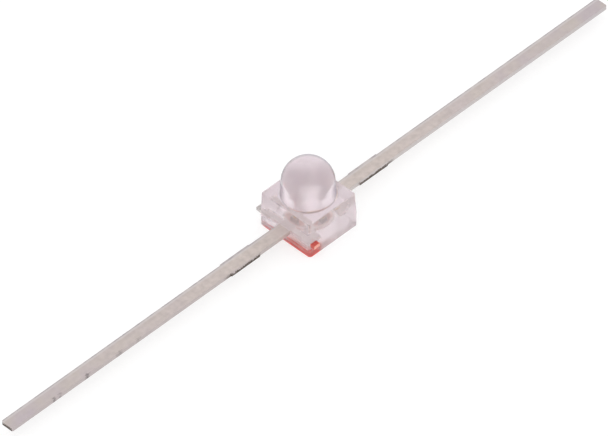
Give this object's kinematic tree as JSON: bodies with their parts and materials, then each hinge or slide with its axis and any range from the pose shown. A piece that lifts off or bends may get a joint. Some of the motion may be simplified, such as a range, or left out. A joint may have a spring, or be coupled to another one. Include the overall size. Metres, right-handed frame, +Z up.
{
  "type": "axial-lead sub-miniature led",
  "caption": "Sub-miniature surface-mount LED: clear moulded epoxy block with a domed lens, long flat axial leads and a red cathode stripe under one end.",
  "frame": {"origin": "centre of the body's flat underside, which is the bottom centre of the part's box", "axes": "+X along the leads towards the anode, +Z up through the middle of the lens"},
  "size_m": [0.0266, 0.0026, 0.0027],
  "materials": {
    "clear_epoxy": "water-clear moulded epoxy with a faint haze",
    "tin_plate": "satin tin plate on rolled strip",
    "chip_crystal": "sawn crystal",
    "silver_adhesive": "cured silver-filled adhesive",
    "gold": "drawn gold",
    "red_ink": "printed ink"
  },
  "bodies": {
    "root": {"epoxy_body": "clear_epoxy", "cathode_lead": "tin_plate", "anode_lead": "tin_plate", "led_chip": "chip_crystal", "die_attach": "silver_adhesive", "chip_contact": "gold", "bond_wire": "gold", "cathode_stripe": "red_ink"}
  },
  "joints": []
}
